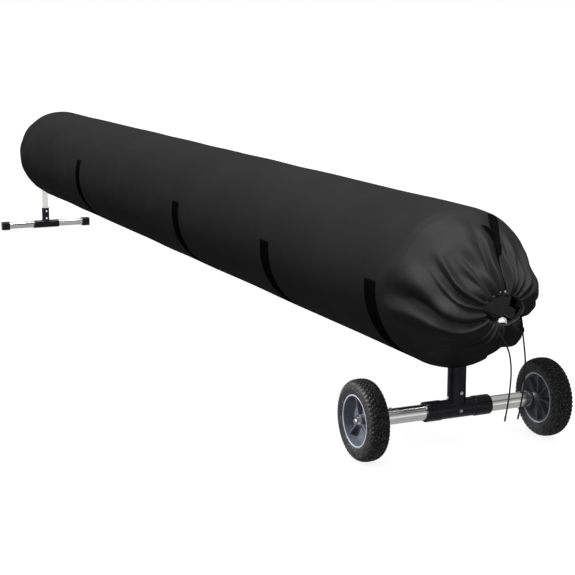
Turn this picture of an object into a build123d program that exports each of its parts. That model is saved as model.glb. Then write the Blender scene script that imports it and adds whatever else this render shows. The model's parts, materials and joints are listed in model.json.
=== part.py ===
from build123d import *
import math
import os

# Cover reel for a pool blanket: a wheeled stand and a plain stand carry a rolled blanket under
# a fitted fabric sleeve. +X is the reel's axis, towards the wheeled stand and the crank. +Y is
# the right of someone who looks along +X. The floor is z = 0, and all sizes are millimetres.

# Reel and stands
stand_spacing = 4030.0
sleeve_overhang = 200.0
axis_height = 408.0
near_tube_r = 20.0
near_tube_half = 215.0
near_tee_r = 24.0
near_tee_half = 47.0
collar_len = 46.0
collar_r = 25.5
near_branch_r = 23.5
near_branch_top = 232.0
far_tube_r = 16.0
far_tube_half = 204.0
far_tee_r = 19.5
far_tee_half = 65.0
far_branch_top = 101.0
far_cap_size = 39.0
far_cap_len = 36.0
tube_wall = 1.5

# Wheels
wheel_r = 101.5
wheel_track = 522.0
tyre_width = 56.0
hub_rim_r = 65.5
hub_width = 48.0
axle_r = 6.0
bush_r = 9.0
boss_reach = 12.0
plug_screw_places = (187.0, 206.0)

# Sleeve and the rolled blanket
sleeve_r = 200.0
sleeve_cloth = 2.5
far_dome = 200.0
far_end_gap = 190.0
blanket_r = 192.0
blanket_core_r = 36.0
blanket_pitch = 8.0
blanket_cloth = 1.5
blanket_gap_far = 400.0
blanket_gap_near = 60.0
mouth_half_width = 56.0
mouth_half_height = 38.0
mouth_drop = 17.0
far_mouth_r = 38.0
upright_clearance = 30.0
end_panel_seam = 130.0

# Bearings, drum and crank
shaft_r = 12.0
running_gap = 0.05
housing_r = 27.0
housing_len = 50.0
drum_tube_r = 30.0
drum_wall = 2.0
drum_end_gap = 45.0
tube_lap = 120.0
plug_depth = 60.0
bolt_r = 4.0
hub_front = 13.0
hub_back = 9.0
handwheel_r = 124.0
handwheel_bar_r = 11.0
handwheel_hub_r = 82.0
handwheel_offset = 95.0
grip_throw = 51.0
grip_shift = 7.0
grip_r = 13.0

# The box of everything but the cords is centred on the origin in X, and its floor is z = 0.
fabric_gap = 0.6
hem_r = 3.2
webbing = 2.0
far_reach = housing_len / 2
near_reach = sleeve_overhang + fabric_gap + webbing
near_x = (stand_spacing + far_reach - near_reach) / 2
far_x = near_x - stand_spacing
strap_width = 60.0
strap_end = 205.0
pull_start = 75.0
pull_angle = 20.0
pull_sweep = 9.0

# Each closing strap: its place along the reel from the near stand, and the angle from the top
# towards -Y at which its visible end starts
strap_places = ((-90.0, 84.0), (-750.0, 84.0), (-1510.0, 78.0), (-2700.0, 70.0))

# Draw cord tails: points of each route, with x counted from the near stand
cord_r = 2.0
tip_len = 12.0
sheath_r = 2.9
sheath_len = 38.0
left_tail = [
    (204.2, -15.0, 343.0),
    (208.0, -9.5, 330.0),
    (210.0, 1.0, 314.0),
    (210.5, 12.0, 294.0),
    (210.0, 18.5, 268.0),
    (210.0, 21.0, 238.0),
    (209.5, 19.5, 204.0),
    (209.0, 16.0, 168.0),
    (208.5, 10.0, 134.0),
]
right_tail = [
    (207.0, 50.5, 338.0),
    (208.0, 53.0, 319.0),
    (208.0, 57.5, 292.0),
    (208.5, 60.5, 262.0),
    (208.5, 60.5, 230.0),
    (208.0, 58.5, 198.0),
    (207.0, 54.5, 166.0),
    (206.0, 48.5, 134.0),
]

os.makedirs("parts", exist_ok=True)


def save(shape, node):
    """Writes one named sub-part."""
    export_step(shape, f"parts/{node}.step")


def along(axis, radius, start, end, at=(0.0, 0.0)):
    """A round bar from start to end along X, Y or Z; at is its place in the other two axes."""
    middle = (start + end) / 2
    bar = Cylinder(radius, abs(end - start))
    if axis == "X":
        return Pos(middle, at[0], at[1]) * Rot(0, 90, 0) * bar
    if axis == "Y":
        return Pos(at[0], middle, at[1]) * Rot(90, 0, 0) * bar
    return Pos(at[0], at[1], middle) * bar


def pipe(axis, outer, inner, start, end, at=(0.0, 0.0)):
    """A round tube, open at both ends."""
    return along(axis, outer, start, end, at) - along(axis, inner, start - 1, end + 1, at)


def joined(solids):
    """One compound of separate solids."""
    return Compound(children=list(solids))


def screw(axis, place, direction, head_r=4.5, head_len=2.6, shank_r=2.5, shank_len=10.0):
    """A pan-head screw whose head stands on the surface at place and points along direction."""
    x, y, z = place
    base = {"X": x, "Y": y, "Z": z}[axis]
    at = {"X": (y, z), "Y": (x, z), "Z": (x, y)}[axis]
    head = along(axis, head_r, base, base + direction * head_len, at)
    shank = along(axis, shank_r, base - direction * shank_len, base, at)
    slot_size = {"X": (1.2, 6.4, 1.0), "Y": (6.4, 1.2, 1.0), "Z": (6.4, 1.0, 1.2)}[axis]
    shift = direction * (head_len - 0.5)
    centre = {"X": (base + shift, y, z), "Y": (x, base + shift, z), "Z": (x, y, base + shift)}[axis]
    return head + shank - Pos(*centre) * Box(*slot_size)


# ---------------------------------------------------------------- wheeled stand
def near_stand():
    """The tee, its collars, the base tube, the upright and their screws."""
    tube_z = wheel_r
    place = (near_x, tube_z)
    branch = (near_x, 0.0)
    tee = along("Y", near_tee_r, -near_tee_half, near_tee_half, place)
    tee = tee + along("Z", near_branch_r, tube_z, near_branch_top, branch)
    tee = tee - along("Y", near_tube_r, -near_tee_half - 1, near_tee_half + 1, place)
    tee = tee - along("Z", near_branch_r - 3.5, tube_z, near_branch_top + 1, branch)
    seat = near_x + near_tee_r - 1.0
    screws = []
    for height in (tube_z - 2.0, tube_z + 44.0):
        tee = tee - along("X", 2.5, near_x, seat + 1, (0.0, height))
        tee = tee - along("X", 4.7, seat, seat + 5, (0.0, height))
        screws.append(screw("X", (seat, 0.0, height), 1, shank_len=2.5))
    side_seat = near_branch_r - 1.0
    side_height = tube_z + near_tee_r + 5.0
    tee = tee - along("Y", 2.5, -near_branch_r - 1, 0.0, (near_x, side_height))
    tee = tee - along("Y", 3.8, -near_branch_r - 1, -side_seat, (near_x, side_height))
    screws.append(screw("Y", (near_x, -side_seat, side_height), -1, head_r=3.6, shank_len=2.0))
    save(tee, "near_tee")
    save(joined(screws), "near_tee_screws")
    for side, name in ((-1, "left"), (1, "right")):
        inner_end = side * near_tee_half
        outer_end = side * (near_tee_half + collar_len)
        low, high = sorted((inner_end, outer_end))
        collar = pipe("Y", collar_r, near_tube_r, low, high, place)
        rim_edges = collar.edges().filter_by(GeomType.CIRCLE).sort_by(Axis.Y)
        outer_rim = [e for e in rim_edges if abs(e.radius - collar_r) < 0.1]
        save(fillet(outer_rim, 2.0), f"near_collar_{name}")
    base = pipe("Y", near_tube_r, near_tube_r - tube_wall, -near_tube_half, near_tube_half, place)
    save(base - plug_screw_holes(), "near_base_tube")
    upright_low = tube_z + near_tee_r + 2
    upright = pipe(
        "Z",
        near_branch_r - 3.5,
        near_branch_r - 3.5 - tube_wall,
        upright_low,
        axis_height - housing_r + 6,
        branch,
    )
    bearing_room = along("X", housing_r, near_x - 40, near_x + 40, (0.0, axis_height))
    save(upright - bearing_room, "near_upright_tube")


def bearing(x, name):
    """The round head on an upright and the plastic bush that the drum's shaft turns in."""
    place = (0.0, axis_height)
    low = x - housing_len / 2
    high = x + housing_len / 2
    save(pipe("X", housing_r, shaft_r + 5, low, high, place), f"{name}_bearing_housing")
    bush = pipe("X", shaft_r + 5, shaft_r + running_gap, low, high, place)
    lip = pipe("X", shaft_r + 9, shaft_r + running_gap, high, high + 3, place)
    save(bush + lip, f"{name}_bearing_bush")


def plug_screw_holes():
    """The holes for the small screws that hold the axle plugs in the base tube."""
    top = wheel_r + near_tube_r
    holes = Part()
    for side in (-1, 1):
        for reach in plug_screw_places:
            holes = holes + along("Z", 2.0, top - 9, top + 1, (near_x, side * reach))
    return holes


def axle_fasteners():
    """The plug screws, and the washer and nut on each axle rod, as groups of separate solids."""
    screws = []
    washers = []
    nuts = []
    boss_end = wheel_track / 2 + boss_reach
    for side in (-1, 1):
        for reach in plug_screw_places:
            head = (near_x, side * reach, wheel_r + near_tube_r)
            screws.append(screw("Z", head, 1, head_r=3.6, head_len=2.0, shank_r=2.0, shank_len=9.0))
        low, high = sorted((side * (boss_end + 0.4), side * (boss_end + 2.4)))
        washers.append(pipe("Y", 13.5, axle_r, low, high, (near_x, wheel_r)))
        low, high = sorted((side * (boss_end + 2.4), side * (boss_end + 10.4)))
        nut = extrude(RegularPolygon(9.5, 6), high - low)
        nut = Pos(near_x, high, wheel_r) * Rot(90, 0, 0) * nut
        nuts.append(nut - along("Y", axle_r, low - 1, high + 1, (near_x, wheel_r)))
    save(joined(screws), "axle_plug_screws")
    save(joined(washers), "axle_washers")
    save(joined(nuts), "axle_nuts")


def axle_side(side, name):
    """What carries a wheel at the base tube's end: the plug, the axle rod and a spacer."""
    tube_z = wheel_r
    place = (near_x, tube_z)
    end = near_tube_half
    wheel_inner = wheel_track / 2 - hub_width / 2
    boss_end = wheel_track / 2 + boss_reach

    def span(outer, inner, start, stop):
        low, high = sorted((side * start, side * stop))
        if inner > 0:
            return pipe("Y", outer, inner, low, high, place)
        return along("Y", outer, low, high, place)

    plug = span(near_tube_r - tube_wall, axle_r, end - 40, end)
    flange = span(near_tube_r, axle_r, end, end + 4)
    save(plug + flange - plug_screw_holes(), f"axle_plug_{name}")
    save(span(15.0, axle_r, end + 4, wheel_inner - 1), f"axle_spacer_{name}")
    save(span(axle_r, 0, end - 55, boss_end + 12), f"axle_rod_{name}")


def wheel(side, name):
    """A tyre, a ribbed plastic hub and the bush that turns on the axle rod."""
    tube_z = wheel_r
    centre_y = side * wheel_track / 2
    place = (near_x, tube_z)
    half = tyre_width / 2
    seat_r = hub_rim_r - 3
    ring = pipe("Y", wheel_r, seat_r, centre_y - half, centre_y + half, place)
    shoulders = [e for e in ring.edges().filter_by(GeomType.CIRCLE) if abs(e.radius - wheel_r) < 0.1]
    tyre = fillet(shoulders, 14.0)
    hub_half = hub_width / 2
    web_half = 5.0
    rim = pipe("Y", seat_r, seat_r - 5, centre_y - hub_half, centre_y + hub_half, place)
    web = pipe("Y", seat_r - 4, bush_r, centre_y - web_half, centre_y + web_half, place)
    outer_end = centre_y + side * boss_reach
    inner_end = centre_y - side * hub_half
    boss = pipe("Y", 16.0, bush_r, min(outer_end, inner_end), max(outer_end, inner_end), place)
    hub = rim + web + boss
    for angle in (100, 225, 340):
        rib = Pos(36.0, 0, 0) * Box(46.0, 2 * boss_reach - 1, 7.0)
        hub = hub + Pos(near_x, centre_y, tube_z) * Rot(0, angle, 0) * rib
    hub = hub - along("Y", bush_r, centre_y - hub_half - 1, centre_y + hub_half + 1, place)
    bush = pipe(
        "Y",
        bush_r,
        axle_r + running_gap,
        min(outer_end, inner_end),
        max(outer_end, inner_end),
        place,
    )
    save(tyre, f"wheel_{name}_tyre")
    save(hub, f"wheel_{name}_hub")
    save(bush, f"wheel_{name}_bush")


# ---------------------------------------------------------------- plain stand
def far_stand():
    """The thinner stand at the far end, which rests on two square rubber feet."""
    tube_z = far_cap_size / 2
    place = (far_x, tube_z)
    branch = (far_x, 0.0)
    branch_r = far_tee_r - 1
    tee = along("Y", far_tee_r - 0.6, -far_tee_half, far_tee_half, place)
    tee = tee + along("Z", branch_r, tube_z, far_branch_top, branch)
    tee = tee - along("Y", far_tube_r, -far_tee_half - 1, far_tee_half + 1, place)
    tee = tee - along("Z", far_tube_r - 1, tube_z, far_branch_top + 1, branch)
    seat = far_x + branch_r - 1.0
    screws = []
    for height in (tube_z + 30, tube_z + 66):
        tee = tee - along("X", 2.5, far_x, seat + 1, (0.0, height))
        tee = tee - along("X", 4.7, seat, seat + 5, (0.0, height))
        screws.append(screw("X", (seat, 0.0, height), 1, shank_len=2.0))
    save(tee, "far_tee")
    save(joined(screws), "far_tee_screws")
    save(
        pipe("Y", far_tube_r, far_tube_r - tube_wall, -far_tube_half, far_tube_half, place),
        "far_base_tube",
    )
    upright = pipe(
        "Z",
        far_tube_r - 1,
        far_tube_r - 1 - tube_wall,
        tube_z + far_tee_r,
        axis_height - housing_r + 6,
        branch,
    )
    bearing_room = along("X", housing_r, far_x - 40, far_x + 40, (0.0, axis_height))
    save(upright - bearing_room, "far_upright_tube")
    for side, name in ((-1, "left"), (1, "right")):
        middle = side * (far_tube_half + far_cap_len / 2 - 16)
        block = Pos(far_x, middle, tube_z) * Box(far_tee_r * 2, far_cap_len, far_cap_size)
        block = fillet(block.edges().filter_by(Axis.Y), 5.0)
        inner, outer = sorted((side * (far_tube_half - 20), side * far_tube_half))
        save(block - along("Y", far_tube_r, inner, outer, place), f"far_foot_cap_{name}")


# ---------------------------------------------------------------- drum and crank
def drum():
    """The telescoping reel tube with its screws, and an end plug and a shaft at each end."""
    place = (0.0, axis_height)
    near_end = near_x - drum_end_gap
    far_end = far_x + drum_end_gap
    mid_low = far_end + (near_end - far_end) / 3
    mid_high = near_end - (near_end - far_end) / 3
    outer = drum_tube_r
    inner = outer - drum_wall
    shank = 8.0
    screws = []
    holes = []
    for x in (mid_high - 30, mid_low + 30, near_end - 30, far_end + 30):
        top = axis_height + outer
        screws.append(screw("Z", (x, 0.0, top), 1, head_r=4.0, head_len=1.6, shank_len=shank))
        holes.append(along("Z", 2.5, top - shank, top + 1, (x, 0.0)))
    drilled = Part() + holes
    save(joined(screws), "reel_tube_screws")
    save(pipe("X", outer, inner, mid_high - tube_lap, near_end, place) - drilled, "reel_tube_near")
    save(pipe("X", outer, inner, far_end, mid_low + tube_lap, place) - drilled, "reel_tube_far")
    save(pipe("X", inner, inner - drum_wall, mid_low, mid_high, place) - drilled, "reel_tube_centre")
    for name, tube_end, inward in (("near", near_end, -1), ("far", far_end, 1)):
        low, high = sorted((tube_end, tube_end + inward * plug_depth))
        face_low, face_high = sorted((tube_end, tube_end - inward * 6))
        plug = pipe("X", inner, shaft_r, low, high, place)
        plug = plug + pipe("X", outer, shaft_r, face_low, face_high, place)
        save(plug - drilled, f"{name}_end_plug")
    shaft_end = near_x + handwheel_offset + hub_front
    shaft = along("X", shaft_r, near_end - 80, shaft_end, place)
    save(shaft - along("X", bolt_r, shaft_end - 30, shaft_end + 1, place), "near_axle_shaft")
    save(along("X", shaft_r, far_x - housing_len / 2 + 8, far_end + 80, place), "far_axle_shaft")


def blanket():
    """The blanket as one thin sheet wound round the tube.

    It is a spiral of half circles: those above the axis are centred on it, those below are
    centred half a pitch to the side, and each is half a pitch larger than the one before.
    """
    growth = blanket_pitch / 2
    count = int((blanket_r - growth - blanket_core_r) / growth)
    faces = []
    for index in range(count):
        centre = growth * (index % 2)
        side = 1 - 2 * (index % 2)
        outer_r = blanket_core_r + growth * index
        ring = Circle(outer_r) - Circle(outer_r - blanket_cloth)
        half = Pos(0, side * blanket_r) * Rectangle(4 * blanket_r, 2 * blanket_r)
        faces.append(Pos(centre, 0) * (ring & half))
    section = Plane.YZ * (Sketch() + faces)
    sheet = extrude(section, stand_spacing - blanket_gap_far - blanket_gap_near)
    save(Pos(far_x + blanket_gap_far, 0, axis_height) * sheet, "blanket_roll")


def handwheel():
    """A spoked handwheel on the shaft, its end bolt, and a spinner grip that turns on a pin."""
    place = (0.0, axis_height)
    plane_x = near_x + handwheel_offset
    rim = Pos(plane_x, 0, axis_height) * Rot(0, 90, 0) * Torus(handwheel_r, handwheel_bar_r)
    hub_face = plane_x + hub_front
    hub = along("X", handwheel_hub_r, plane_x - hub_back, hub_face, place)
    wheel_body = rim + hub
    spoke_len = handwheel_r - handwheel_hub_r + 14
    spoke_mid = (handwheel_r + handwheel_hub_r) / 2 - 4
    for angle in (0, 120, 240):
        spoke = Pos(0, 0, spoke_mid) * Box(13.0, 24.0, spoke_len)
        wheel_body = wheel_body + Pos(plane_x, 0, axis_height) * Rot(angle, 0, 0) * spoke
    wheel_body = wheel_body - along("X", shaft_r, plane_x - 20, hub_face + 1, place)
    pin_place = (grip_shift, axis_height - grip_throw)
    wheel_body = wheel_body - along("X", 5.0, hub_face - 12, hub_face + 1, pin_place)
    save(wheel_body, "handwheel")
    bolt = along("X", 16.0, hub_face, hub_face + 2, place)
    bolt = bolt + along("X", 8.0, hub_face + 2, hub_face + 8, place)
    bolt = bolt + along("X", bolt_r, hub_face - 28, hub_face, place)
    save(bolt, "handwheel_bolt")
    grip_start = hub_face + 4
    grip_end = near_x + sleeve_overhang - 14
    pin = along("X", 5.0, hub_face - 12, grip_end - 10, pin_place)
    collar = along("X", 8.0, hub_face, grip_start - 0.4, pin_place)
    save(pin + collar + along("X", 8.0, grip_end - 10, grip_end - 6, pin_place), "grip_pin")
    grip = pipe("X", grip_r, 5.0 + running_gap, grip_start, grip_end - 10.4, pin_place)
    grip = grip + pipe("X", grip_r, grip_r - tube_wall, grip_end - 11, grip_end, pin_place)
    save(grip, "spinner_grip")


# ---------------------------------------------------------------- sleeve and straps
def sleeve_outline(inset):
    """Half the sleeve's lengthways section, from axis to axis; inset makes the inner wall."""
    full = sleeve_r - inset
    front = near_x + sleeve_overhang - inset
    far_start = far_x + far_end_gap + inset
    far_full = far_x + far_end_gap + far_dome
    lip = front - 3.0
    shoulder = (lip - 6, 94 - inset)
    waist = (near_x + 106 - inset / 2, 153 - inset * 0.8)
    near_dome = ThreePointArc((near_x, full), waist, shoulder)
    front_turn = ThreePointArc(shoulder, (lip + 1, 86 - inset), (front, 74 - inset))
    far_turn = ThreePointArc(
        (far_start, 60 - inset), (far_start + 55, 152 - inset * 0.8), (far_full, full)
    )
    edges = [
        Line((far_start, 0), (far_start, 60 - inset)),
        far_turn,
        Line((far_full, full), (near_x, full)),
        near_dome,
        front_turn,
        Line((front, 74 - inset), (front, 0)),
        Line((front, 0), (far_start, 0)),
    ]
    return make_face(Curve() + edges)


def mouth_bar(grow, start, end):
    """A bar of the near mouth's oval section along X, larger all round by grow."""
    oval = Ellipse(mouth_half_width + grow, mouth_half_height + grow)
    bar = extrude(Plane.YZ * oval, end - start)
    return Pos(start, 0, axis_height - mouth_drop) * bar


def sleeve():
    """The fabric sleeve and its end panel, gathered at both ends, with room for the upright."""
    axis = Axis((0, 0, 0), (1, 0, 0))
    outside = revolve(sleeve_outline(0.0), axis)
    inside = revolve(sleeve_outline(sleeve_cloth), axis)
    shell = Pos(0, 0, axis_height) * (outside - inside)
    front = near_x + sleeve_overhang
    mouth = mouth_bar(hem_r, front - 40, front + 5)
    far_front = far_x + far_end_gap
    far_mouth = along("X", far_mouth_r + hem_r, far_front - 5, far_front + 30, (0.0, axis_height))
    slit = along("Z", upright_clearance, axis_height - sleeve_r - 20, axis_height - 150, (near_x, 0.0))
    shell = shell - mouth - far_mouth - slit
    seam_x = near_x + end_panel_seam
    beyond_seam = Pos(seam_x + sleeve_r, 0, axis_height) * Box(2 * sleeve_r, 3 * sleeve_r, 3 * sleeve_r)
    save(shell - beyond_seam, "cover_sleeve")
    save(shell & beyond_seam, "sleeve_end_panel")
    hem_start = front - sleeve_cloth / 2 - hem_r
    hem_end = front - sleeve_cloth / 2 + hem_r
    near_hem = mouth_bar(hem_r - fabric_gap, hem_start, hem_end)
    save(near_hem - mouth_bar(-hem_r, hem_start - 1, hem_end + 1), "mouth_hem")
    far_hem = Rot(0, 90, 0) * Torus(far_mouth_r - fabric_gap, hem_r)
    save(Pos(far_front + sleeve_cloth / 2, 0, axis_height) * far_hem, "far_elastic_hem")


def strap_band(x, start_angle, sweep):
    """A band of webbing round the sleeve; angles run from the top towards -Y."""
    inner = sleeve_r + fabric_gap
    profile = Pos(x, inner + webbing / 2) * Rectangle(strap_width, webbing)
    band = revolve(profile, Axis((0, 0, 0), (1, 0, 0)), revolution_arc=sweep)
    return Pos(0, 0, axis_height) * Rot(90 + start_angle, 0, 0) * band


def straps():
    """Four closing straps under the roll, and the pull strap on the near dome."""
    for number, (offset, start) in enumerate(strap_places, start=1):
        save(strap_band(near_x + offset, start, strap_end - start), f"closure_strap_{number}")
    shell = sleeve_outline(-fabric_gap - webbing) - sleeve_outline(-fabric_gap)
    reach = Pos(near_x + pull_start + 100, 60 + 100) * Rectangle(200, 200)
    gore = revolve(shell & reach, Axis((0, 0, 0), (1, 0, 0)), revolution_arc=pull_sweep)
    save(Pos(0, 0, axis_height) * Rot(90 - pull_angle, 0, 0) * gore, "pull_strap")
    front = near_x + sleeve_overhang
    rivets = []
    for y in (-9.0, 3.0):
        rivets.append(along("X", 2.4, front + 0.1, front + 2.1, (y, axis_height + 27)))
    save(joined(rivets), "pull_strap_rivets")


# ---------------------------------------------------------------- draw cord
def cord_tube(points):
    """A tube of the cord's section along straight runs joined by arcs."""
    route = [Vector(*p) for p in points]
    radii = []
    for before, here, after in zip(route, route[1:], route[2:]):
        first = here - before
        second = after - here
        turn = math.radians(first.get_angle(second))
        radii.append(0.45 * min(first.length, second.length) / math.tan(turn / 2))
    path = FilletPolyline(*route, radius=radii)
    start = Plane(origin=path @ 0, z_dir=path % 0)
    tube = sweep(start * Circle(cord_r), path=path)
    print("cord length", round(path.length, 1), "smallest radius", round(min(radii), 1))
    print("volume over section times length", round(tube.volume / (math.pi * cord_r**2 * path.length), 4))
    tip_start = Plane(origin=path @ 1, z_dir=path % 1)
    tip = extrude(tip_start * Circle(cord_r + 0.5), tip_len)
    return tube, tip


def draw_cord():
    """The two tails of the draw cord, their tips, eyelets and the sheath on the right one."""
    tips = []
    for name, points in (("left", left_tail), ("right", right_tail)):
        tube, tip = cord_tube([(near_x + x, y, z) for x, y, z in points])
        save(tube, f"drawcord_{name}")
        tips.append(tip)
    save(joined(tips), "drawcord_tips")
    front = near_x + sleeve_overhang
    first = Vector(near_x + right_tail[0][0], right_tail[0][1], right_tail[0][2])
    second = Vector(near_x + right_tail[1][0], right_tail[1][1], right_tail[1][2])
    sheath_plane = Plane(origin=first, z_dir=first - second)
    save(extrude(sheath_plane * Circle(sheath_r), sheath_len), "drawcord_sheath")
    eyelet_place = (left_tail[0][1] - 1, left_tail[0][2] + 1)
    eyelet = pipe("X", 6.5, 3.0, front + 0.1, front + 1.6, eyelet_place)
    save(eyelet, "drawcord_eyelet")


near_stand()
bearing(near_x, "near")
bearing(far_x, "far")
for wheel_side, wheel_name in ((-1, "left"), (1, "right")):
    axle_side(wheel_side, wheel_name)
    wheel(wheel_side, wheel_name)
axle_fasteners()
far_stand()
drum()
blanket()
handwheel()
sleeve()
straps()
draw_cord()
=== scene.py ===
"""A pool cover reel under its fabric sleeve: the looks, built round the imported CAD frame."""
import json
import math
import random

import bpy
import numpy as np
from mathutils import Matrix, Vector

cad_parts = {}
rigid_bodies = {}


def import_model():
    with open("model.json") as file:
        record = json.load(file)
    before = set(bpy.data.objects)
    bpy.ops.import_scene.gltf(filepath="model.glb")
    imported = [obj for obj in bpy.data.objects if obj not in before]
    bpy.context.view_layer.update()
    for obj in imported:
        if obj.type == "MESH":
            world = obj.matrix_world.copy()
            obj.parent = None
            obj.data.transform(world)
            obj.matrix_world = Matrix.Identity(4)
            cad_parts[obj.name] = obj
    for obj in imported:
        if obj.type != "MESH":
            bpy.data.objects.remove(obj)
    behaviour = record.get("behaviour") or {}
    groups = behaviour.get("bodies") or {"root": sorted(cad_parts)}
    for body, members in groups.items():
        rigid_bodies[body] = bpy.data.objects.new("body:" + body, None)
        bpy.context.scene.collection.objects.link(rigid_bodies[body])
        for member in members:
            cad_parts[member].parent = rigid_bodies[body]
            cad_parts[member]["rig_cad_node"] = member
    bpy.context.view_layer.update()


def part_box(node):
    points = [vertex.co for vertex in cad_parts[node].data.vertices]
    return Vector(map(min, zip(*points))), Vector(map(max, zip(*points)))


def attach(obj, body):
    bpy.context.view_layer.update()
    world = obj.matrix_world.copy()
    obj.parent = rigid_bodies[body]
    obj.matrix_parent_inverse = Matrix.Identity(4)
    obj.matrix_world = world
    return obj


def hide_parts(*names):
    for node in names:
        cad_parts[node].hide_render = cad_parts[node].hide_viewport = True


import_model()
MM = 0.001
TAU = 2 * math.pi


# ---------------------------------------------------------------- places read from the frame
def middle(node):
    """The centre of a CAD node's box."""
    low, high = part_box(node)
    return (Vector(low) + Vector(high)) / 2


near_x = middle("near_base_tube").x
axis_z = middle("near_axle_shaft").z
wheel_z = middle("wheel_left_tyre").z
wheel_y = middle("wheel_right_tyre").y
sleeve_low, sleeve_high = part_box("cover_sleeve")
sleeve_r = sleeve_high[2] - axis_z
mouth_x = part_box("sleeve_end_panel")[1][0]
mouth_z = middle("mouth_hem").z
far_mouth_x = sleeve_low[0]
cloth = 1.6 * MM


# ---------------------------------------------------------------- camera
CAMERA_LENS = 87.65
CAMERA_YAW = 24.2
CAMERA_PITCH = 11.1
CAMERA_PLACE = (2.911, -1.771, 1.072)


def make_camera():
    """The photograph's viewing angle: from beyond the wheeled end, a little above the reel."""
    data = bpy.data.cameras.new("camera")
    data.sensor_width = 36.0
    data.lens = CAMERA_LENS
    data.clip_end = 100.0
    camera = bpy.data.objects.new("camera", data)
    bpy.context.scene.collection.objects.link(camera)
    yaw, pitch = math.radians(CAMERA_YAW), math.radians(CAMERA_PITCH)
    look = Vector((-math.cos(yaw) * math.cos(pitch), math.sin(yaw) * math.cos(pitch), -math.sin(pitch)))
    camera.location = Vector((near_x, 0, 0)) + Vector(CAMERA_PLACE)
    camera.rotation_mode = "QUATERNION"
    camera.rotation_quaternion = look.to_track_quat("-Z", "Y")
    bpy.context.scene.camera = camera


make_camera()


# ---------------------------------------------------------------- node and mesh helpers
class Nodes:
    """A short way to write a material's node tree."""

    def __init__(self, name, colour, rough, **sockets):
        self.material = bpy.data.materials.new(name)
        self.material.use_nodes = True
        self.material.diffuse_color = (*colour, 1)
        self.tree = self.material.node_tree
        self.shader = self.tree.nodes["Principled BSDF"]
        self.set("Base Color", (*colour, 1))
        self.set("Roughness", rough)
        for key, value in sockets.items():
            self.set(key.replace("_", " "), value)

    def set(self, key, value):
        """A constant on one of the shader's sockets."""
        self.shader.inputs[key].default_value = value

    def add(self, kind, inputs=None, **settings):
        """A node; each input is linked if it is another node's socket, and set otherwise."""
        node = self.tree.nodes.new(kind)
        for key, value in settings.items():
            setattr(node, key, value)
        for key, value in (inputs or {}).items():
            if isinstance(value, bpy.types.NodeSocket):
                self.tree.links.new(value, node.inputs[key])
            else:
                node.inputs[key].default_value = value
        return node

    def place(self, kind="Object", scale=(1, 1, 1)):
        """Texture coordinates, stretched along the axes."""
        coords = self.add("ShaderNodeTexCoord").outputs[kind]
        return self.add("ShaderNodeMapping", {"Vector": coords, "Scale": scale}).outputs["Vector"]

    def noise(self, where, scale, detail=3.0, rough=0.55):
        inputs = {"Vector": where, "Scale": scale, "Detail": detail, "Roughness": rough}
        return self.add("ShaderNodeTexNoise", inputs).outputs["Fac"]

    def math(self, kind, a, b=0.0):
        return self.add("ShaderNodeMath", {0: a, 1: b}, operation=kind).outputs[0]

    def ramp(self, factor, low, high, to_low=0.0, to_high=1.0):
        """A value moved from one range to another and held inside it."""
        inputs = {"Value": factor, "From Min": low, "From Max": high, "To Min": to_low, "To Max": to_high}
        return self.add("ShaderNodeMapRange", inputs).outputs["Result"]

    def colours(self, factor, stops):
        """The base colour along a ramp; stops are (place, colour)."""
        node = self.add("ShaderNodeValToRGB", {"Fac": factor})
        for index, (place, colour) in enumerate(stops):
            if index < 2:
                stop = node.color_ramp.elements[index]
                stop.position = place
            else:
                stop = node.color_ramp.elements.new(place)
            stop.color = (*colour, 1)
        self.tree.links.new(node.outputs["Color"], self.shader.inputs["Base Color"])

    def to(self, socket, value):
        """A node's output linked to one of the shader's sockets."""
        self.tree.links.new(value, self.shader.inputs[socket])

    def bump(self, height, strength, distance, under=None):
        inputs = {"Height": height, "Strength": strength, "Distance": distance}
        if under is not None:
            inputs["Normal"] = under
        return self.add("ShaderNodeBump", inputs).outputs["Normal"]


def new_piece(name, verts, faces, material, body="base", smooth=True, uvs=None):
    """A mesh piece that rides on a body."""
    mesh = bpy.data.meshes.new(name)
    mesh.from_pydata([tuple(v) for v in verts], [], [tuple(f) for f in faces])
    mesh.update()
    if uvs is not None:
        layer = mesh.uv_layers.new(name="cloth")
        loops = np.empty(len(mesh.loops), dtype=np.int64)
        mesh.loops.foreach_get("vertex_index", loops)
        layer.data.foreach_set("uv", np.asarray(uvs, dtype=np.float32)[loops].ravel())
    for item in material if isinstance(material, (list, tuple)) else [material]:
        mesh.materials.append(item)
    if smooth:
        mesh.polygons.foreach_set("use_smooth", np.ones(len(mesh.polygons), dtype=bool))
    piece = bpy.data.objects.new(name, mesh)
    bpy.context.scene.collection.objects.link(piece)
    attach(piece, body)
    return piece


def modifier(piece, kind, **settings):
    """A modifier on a piece, with its settings."""
    made = piece.modifiers.new(kind.lower(), kind)
    for key, value in settings.items():
        setattr(made, key, value)
    return made


def grid_faces(rows, columns, closed):
    """Quads of a rows by columns grid; closed joins the last column to the first."""
    r = np.arange(rows - 1)[:, None]
    c = np.arange(columns if closed else columns - 1)[None, :]
    n = (c + 1) % columns
    first = r * columns
    second = first + columns
    return np.stack([first + c, first + n, second + n, second + c], -1).reshape(-1, 4)


def smoothstep(low, high, x):
    """0 below low, 1 above high, and a smooth rise between."""
    t = np.clip((np.asarray(x, dtype=float) - low) / (high - low), 0, 1)
    return t * t * (3 - 2 * t)


# ---------------------------------------------------------------- materials
def weave_height(m, pitch):
    """A plain weave's height from the cloth's own coordinates, in metres."""
    uv = m.add("ShaderNodeSeparateXYZ", {"Vector": m.add("ShaderNodeTexCoord").outputs["UV"]}).outputs
    warp = m.math("SINE", m.math("MULTIPLY", uv["X"], TAU / pitch))
    weft = m.math("SINE", m.math("MULTIPLY", uv["Y"], TAU / pitch))
    return m.math("MULTIPLY", warp, weft)


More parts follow.
